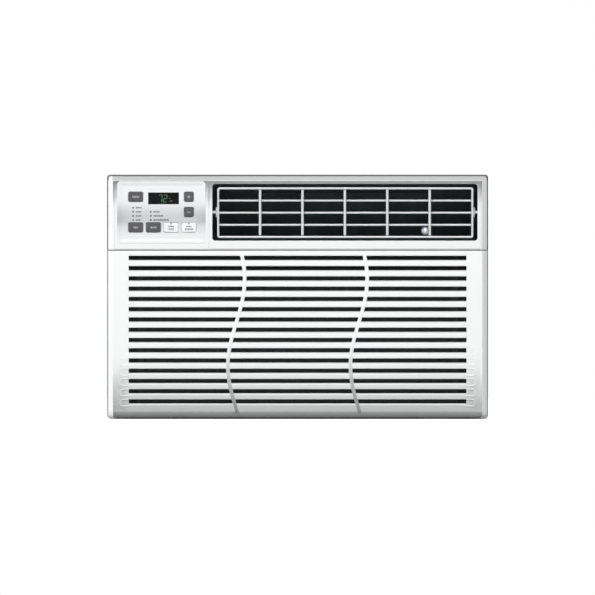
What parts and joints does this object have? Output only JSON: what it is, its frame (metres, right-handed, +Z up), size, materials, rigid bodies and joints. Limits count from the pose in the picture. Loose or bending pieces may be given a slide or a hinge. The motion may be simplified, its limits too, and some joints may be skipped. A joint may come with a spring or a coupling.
{
  "type": "window air conditioner",
  "caption": "White window air conditioner: control keys and a tilting louvre with swivelling vanes above a hinged, slotted intake grille; fan, coils and compressor in a steel cabinet behind.",
  "frame": {"origin": "under the middle of the unit, on the surface that its base rails stand on", "axes": "+X to the right seen from the front, +Y from the front to the rear, +Z up"},
  "size_m": [0.6, 0.56, 0.385],
  "materials": {
    "white_plastic": "moulded ABS with a fine satin grain",
    "louvre_plastic": "moulded ABS, satin",
    "panel_plastic": "silver-white satin plastic",
    "dark_key": "grey rubberised key",
    "white_key": "white key",
    "display_black": "dark glossy window",
    "lamp": "unlit lamp",
    "knob_silver": "silver paint",
    "cabinet_paint": "powder coat",
    "galvanised": "galvanised sheet",
    "screw_steel": "zinc plated",
    "fin_aluminium": "thin aluminium fins",
    "copper": "drawn copper tube",
    "compressor_black": "black enamel",
    "rubber": "moulded rubber",
    "dark_plastic": "dark moulded plastic",
    "foam": "expanded foam beads",
    "board_green": "circuit board lacquer",
    "filter_net": "fine woven net"
  },
  "bodies": {
    "chassis": {"air_duct": "dark_plastic", "base_pan": "galvanised", "blower_scroll": "foam", "bulkhead": "galvanised", "cabinet_screws": "screw_steel", "cabinet_wrapper": "cabinet_paint", "capillary_tube": "copper", "compressor_grommets": "rubber", "compressor_nuts": "screw_steel", "compressor_shell": "compressor_black", "condenser_bends": "copper", "condenser_fins": "fin_aluminium", "condenser_plates": "galvanised", "control_board": "board_green", "control_box": "galvanised", "control_panel": "panel_plastic", "cord_gland": "rubber", "discharge_pipe": "copper", "display_lens": "display_black", "drain_tray": "foam", "evaporator_bends": "copper", "evaporator_fins": "fin_aluminium", "evaporator_plates": "galvanised", "fan_motor": "galvanised", "fan_shroud": "galvanised", "filter_drier": "copper", "filter_frame": "dark_plastic", "filter_mesh": "filter_net", "front_panel": "white_plastic", "grille_catches": "white_plastic", "grille_hinge_pins": "screw_steel", "indicator_lights": "lamp", "liquid_pipe": "copper", "motor_bracket": "galvanised", "panel_screws": "screw_steel", "rear_guard": "cabinet_paint", "run_capacitor": "screw_steel", "suction_accumulator": "compressor_black", "suction_pipe": "copper", "temperature_sensor": "copper", "terminal_cover": "dark_plastic"},
    "intake_grille": {"intake_grille": "white_plastic"},
    "louvre_frame": {"louvre_frame": "louvre_plastic"},
    "vane_1": {"vane_1": "louvre_plastic"},
    "vane_2": {"vane_2": "louvre_plastic"},
    "vane_3": {"vane_3": "louvre_plastic"},
    "vane_4": {"vane_4": "louvre_plastic"},
    "vane_5": {"vane_5": "louvre_plastic", "vane_knob": "knob_silver"},
    "vane_link": {"vane_link": "dark_plastic"},
    "fan": {"motor_shaft": "screw_steel", "blower_wheel": "dark_plastic", "condenser_fan": "dark_plastic"},
    "button_power": {"button_power": "dark_key"},
    "button_up": {"button_up": "dark_key"},
    "button_down": {"button_down": "dark_key"},
    "button_fan": {"button_fan": "dark_key"},
    "button_mode": {"button_mode": "dark_key"},
    "button_timer": {"button_timer": "white_key"},
    "button_reset": {"button_reset": "white_key"}
  },
  "joints": [
    {"name": "grille_hinge", "type": "hinge", "parent": "chassis", "child": "intake_grille", "pos_m": [0, -0.273, 0.255], "axis": [-1, 0, 0], "range_deg": [0, 75]},
    {"name": "louvre_tilt", "type": "hinge", "parent": "chassis", "child": "louvre_frame", "pos_m": [0.07455, -0.262, 0.3258], "axis": [1, 0, 0], "range_deg": [-25, 25]},
    {"name": "vane_1_swivel", "type": "hinge", "parent": "louvre_frame", "child": "vane_1", "pos_m": [-0.05908, -0.268, 0.3258], "axis": [0, 0, 1], "range_deg": [-35, 35]},
    {"name": "vane_2_swivel", "type": "hinge", "parent": "louvre_frame", "child": "vane_2", "pos_m": [0.00773, -0.268, 0.3258], "axis": [0, 0, 1], "range_deg": [-35, 35]},
    {"name": "vane_3_swivel", "type": "hinge", "parent": "louvre_frame", "child": "vane_3", "pos_m": [0.07455, -0.268, 0.3258], "axis": [0, 0, 1], "range_deg": [-35, 35]},
    {"name": "vane_4_swivel", "type": "hinge", "parent": "louvre_frame", "child": "vane_4", "pos_m": [0.14137, -0.268, 0.3258], "axis": [0, 0, 1], "range_deg": [-35, 35]},
    {"name": "vane_5_swivel", "type": "hinge", "parent": "louvre_frame", "child": "vane_5", "pos_m": [0.20818, -0.268, 0.3258], "axis": [0, 0, 1], "range_deg": [-35, 35]},
    {"name": "link_swivel", "type": "hinge", "parent": "vane_5", "child": "vane_link", "pos_m": [0.20818, -0.263, 0.3573], "axis": [0, 0, 1], "range_deg": [-35, 35]},
    {"name": "fan_spin", "type": "hinge", "parent": "chassis", "child": "fan", "pos_m": [0.07455, 0, 0.185], "axis": [0, 1, 0], "continuous": true},
    {"name": "power_press", "type": "slide", "parent": "chassis", "child": "button_power", "axis": [0, 1, 0], "range_m": [0, 0.0012], "stiffness_N_per_m": 300},
    {"name": "up_press", "type": "slide", "parent": "chassis", "child": "button_up", "axis": [0, 1, 0], "range_m": [0, 0.0012], "stiffness_N_per_m": 300},
    {"name": "down_press", "type": "slide", "parent": "chassis", "child": "button_down", "axis": [0, 1, 0], "range_m": [0, 0.0012], "stiffness_N_per_m": 300},
    {"name": "fan_press", "type": "slide", "parent": "chassis", "child": "button_fan", "axis": [0, 1, 0], "range_m": [0, 0.0012], "stiffness_N_per_m": 300},
    {"name": "mode_press", "type": "slide", "parent": "chassis", "child": "button_mode", "axis": [0, 1, 0], "range_m": [0, 0.0012], "stiffness_N_per_m": 300},
    {"name": "timer_press", "type": "slide", "parent": "chassis", "child": "button_timer", "axis": [0, 1, 0], "range_m": [0, 0.0012], "stiffness_N_per_m": 300},
    {"name": "reset_press", "type": "slide", "parent": "chassis", "child": "button_reset", "axis": [0, 1, 0], "range_m": [0, 0.0012], "stiffness_N_per_m": 300}
  ],
  "couplings": [
    {"joint": "vane_1_swivel", "follows": "vane_5_swivel", "ratio": 1},
    {"joint": "vane_2_swivel", "follows": "vane_5_swivel", "ratio": 1},
    {"joint": "vane_3_swivel", "follows": "vane_5_swivel", "ratio": 1},
    {"joint": "vane_4_swivel", "follows": "vane_5_swivel", "ratio": 1},
    {"joint": "link_swivel", "follows": "vane_5_swivel", "ratio": -1}
  ]
}
